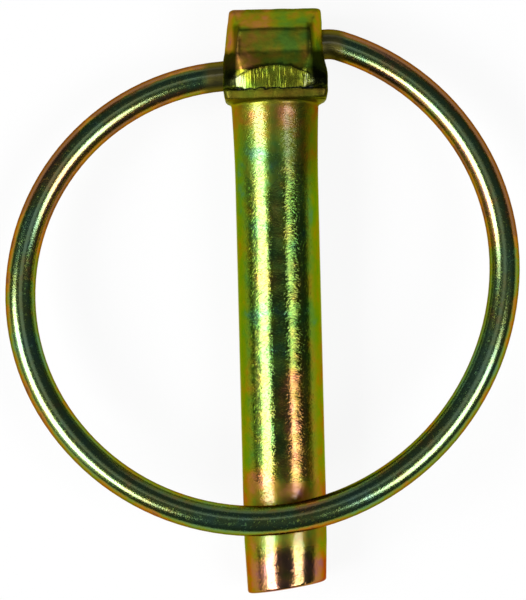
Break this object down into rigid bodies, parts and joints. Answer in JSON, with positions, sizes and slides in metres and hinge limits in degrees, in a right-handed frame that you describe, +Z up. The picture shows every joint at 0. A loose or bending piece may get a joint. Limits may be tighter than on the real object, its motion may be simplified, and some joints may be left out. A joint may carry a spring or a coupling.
{
  "type": "lynch pin",
  "caption": "Forged quick-release lynch pin: round shank with a block head and a sprung wire ring that swings over the tip to lock it.",
  "frame": {"origin": "on the shank's axis, halfway along the plain cylinder that fills the mating hole", "axes": "+Z up, square to the closed ring's side of the pin, which lies on its back; +Y along the shank towards the head; +X to the right seen from above with the head away from the viewer"},
  "size_m": [0.0493, 0.0562, 0.0119],
  "materials": {
    "plated_forging": "yellow passivated zinc plate on forged steel",
    "plated_spring_wire": "yellow passivated zinc plate on spring wire"
  },
  "bodies": {
    "pin": {"pin": "plated_forging"},
    "ring": {"spring_ring": "plated_spring_wire"}
  },
  "joints": [
    {"name": "ring_hinge", "type": "hinge", "parent": "pin", "child": "ring", "pos_m": [0, 0.0265, 0], "axis": [-0.9563, -0.2924, 0], "range_deg": [0, 175]}
  ]
}
